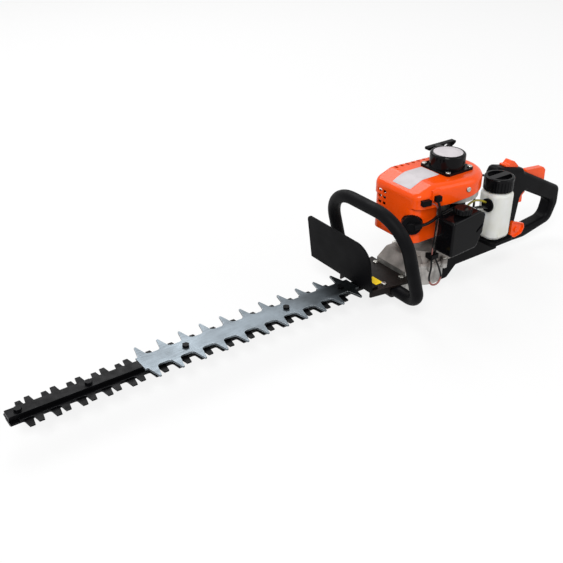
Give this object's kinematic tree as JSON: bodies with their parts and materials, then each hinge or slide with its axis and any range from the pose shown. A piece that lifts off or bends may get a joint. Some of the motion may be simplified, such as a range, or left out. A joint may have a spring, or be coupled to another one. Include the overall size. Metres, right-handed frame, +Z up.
{
  "type": "hedge trimmer",
  "caption": "Petrol hedge trimmer with a double-sided reciprocating blade, tooth guard, loop front handle, hand guard, recoil starter and a rear grip with a throttle trigger.",
  "frame": {"origin": "on the crankshaft's axis, at the sole of the skid foot", "axes": "+X from the blade's tip towards the rear handle, +Y to the machine's right, +Z up"},
  "size_m": [1.051, 0.2126, 0.23],
  "materials": {
    "orange_plastic": "moulded satin",
    "black_plastic": "fine grain",
    "grip_rubber": "satin",
    "blade_steel": "ground",
    "guard_metal": "satin",
    "bar_steel": "black finish",
    "bolt_steel": "plated",
    "cast_aluminium": "die cast",
    "muffler_steel": "heat-proof black",
    "chassis_paint": "fine grain",
    "tank_plastic": "translucent",
    "rope_cord": "braided",
    "cable_jacket": "satin",
    "hose_rubber": "satin",
    "clear_hose": "translucent"
  },
  "bodies": {
    "machine": {"tooth_guard": "guard_metal", "support_bar": "bar_steel", "lower_bar": "bar_steel", "blade_bolts": "bolt_steel", "blade_nuts": "bolt_steel", "bracket_plate": "bar_steel", "bracket_screws": "bolt_steel", "hand_guard": "black_plastic", "loop_handle": "grip_rubber", "loop_clamps": "bar_steel", "gear_case_lower": "cast_aluminium", "gear_case_upper": "cast_aluminium", "crankcase": "cast_aluminium", "cylinder": "cast_aluminium", "muffler": "muffler_steel", "engine_cover": "orange_plastic", "starter_housing": "black_plastic", "housing_screws": "bolt_steel", "carburettor": "cast_aluminium", "filter_base": "black_plastic", "filter_cover": "black_plastic", "fuel_tank": "tank_plastic", "tank_grommet": "grip_rubber", "chassis": "chassis_paint", "av_mounts": "grip_rubber", "handle_left": "black_plastic", "handle_right": "black_plastic", "handle_screws": "bolt_steel", "spark_plug": "bolt_steel", "plug_boot": "grip_rubber", "plug_lead": "cable_jacket", "ignition_coil": "black_plastic", "cable_plug": "grip_rubber", "stop_cable": "cable_jacket", "stop_connector": "black_plastic", "stop_wires": "cable_jacket", "wire_boot": "grip_rubber", "wire_loop": "cable_jacket", "fuel_hose": "hose_rubber", "return_hose": "clear_hose", "throttle_cable": "cable_jacket"},
    "upper_blade": {"upper_blade": "blade_steel", "upper_yoke": "blade_steel"},
    "lower_blade": {"lower_blade": "blade_steel", "lower_yoke": "blade_steel"},
    "drive_gear": {"drive_gear": "bolt_steel"},
    "clutch_drum": {"clutch_drum": "bolt_steel"},
    "crankshaft": {"crankshaft": "bolt_steel", "clutch_shoes": "bolt_steel", "flywheel_fan": "cast_aluminium"},
    "starter_pulley": {"starter_pulley": "black_plastic"},
    "starter_grip": {"starter_grip": "black_plastic", "starter_rope": "rope_cord"},
    "tank_cap": {"tank_cap": "black_plastic"},
    "filter_knob": {"filter_knob": "black_plastic"},
    "throttle_trigger": {"throttle_trigger": "orange_plastic"},
    "lockout_lever": {"lockout_lever": "orange_plastic"},
    "stop_switch": {"stop_switch": "orange_plastic"},
    "latch_lever": {"latch_lever": "orange_plastic"},
    "choke_lever": {"choke_lever": "black_plastic"}
  },
  "joints": [
    {"name": "blade_slide", "type": "slide", "parent": "machine", "child": "upper_blade", "axis": [1, 0, 0], "range_m": [-0.00625, 0.01125]},
    {"name": "lower_blade_slide", "type": "slide", "parent": "machine", "child": "lower_blade", "axis": [1, 0, 0], "range_m": [-0.01125, 0.00625]},
    {"name": "gear_spin", "type": "hinge", "parent": "machine", "child": "drive_gear", "pos_m": [-0.044, 0, 0.0645], "axis": [0, 0, 1], "continuous": true},
    {"name": "drum_spin", "type": "hinge", "parent": "machine", "child": "clutch_drum", "pos_m": [0, 0, 0.07], "axis": [0, 0, 1], "continuous": true},
    {"name": "crank_spin", "type": "hinge", "parent": "machine", "child": "crankshaft", "pos_m": [0, 0, 0.12], "axis": [0, 0, 1], "continuous": true},
    {"name": "rope_pull", "type": "slide", "parent": "machine", "child": "starter_grip", "axis": [0, 1, 0], "range_m": [0, 0.9], "stiffness_N_per_m": 5, "springref_m": -0.6},
    {"name": "pulley_spin", "type": "hinge", "parent": "machine", "child": "starter_pulley", "pos_m": [0, 0, 0.217], "axis": [0, 0, 1], "continuous": true},
    {"name": "cap_turn", "type": "hinge", "parent": "machine", "child": "tank_cap", "pos_m": [0.086, -0.04, 0.17], "axis": [0, 0, 1], "range_deg": [0, 540]},
    {"name": "knob_turn", "type": "hinge", "parent": "machine", "child": "filter_knob", "pos_m": [-0.035, -0.075, 0.166], "axis": [0, 0, 1], "range_deg": [0, 720]},
    {"name": "throttle", "type": "hinge", "parent": "machine", "child": "throttle_trigger", "pos_m": [0.197, 0, 0.122], "axis": [0, -1, 0], "range_deg": [0, 18], "stiffness_Nm_per_rad": 0.6, "springref_deg": -17.19},
    {"name": "lockout", "type": "hinge", "parent": "machine", "child": "lockout_lever", "pos_m": [0.212, 0, 0.134], "axis": [0, 1, 0], "range_deg": [0, 9], "stiffness_Nm_per_rad": 0.4, "springref_deg": -17.19},
    {"name": "stop_slide", "type": "slide", "parent": "machine", "child": "stop_switch", "axis": [-0.9718, 0, 0.2356], "range_m": [0, 0.006]},
    {"name": "latch_turn", "type": "hinge", "parent": "machine", "child": "latch_lever", "pos_m": [0.182, -0.017, 0.046], "axis": [0, 1, 0], "range_deg": [0, 25]},
    {"name": "choke_turn", "type": "hinge", "parent": "machine", "child": "choke_lever", "pos_m": [-0.0305, -0.0505, 0.1428], "axis": [0, 1, 0], "range_deg": [0, 25]}
  ],
  "couplings": [
    {"joint": "lower_blade_slide", "follows": "blade_slide", "ratio": -1},
    {"joint": "drum_spin", "follows": "gear_spin", "ratio": -3},
    {"joint": "pulley_spin", "follows": "rope_pull", "rad_per_m": -66.667}
  ]
}
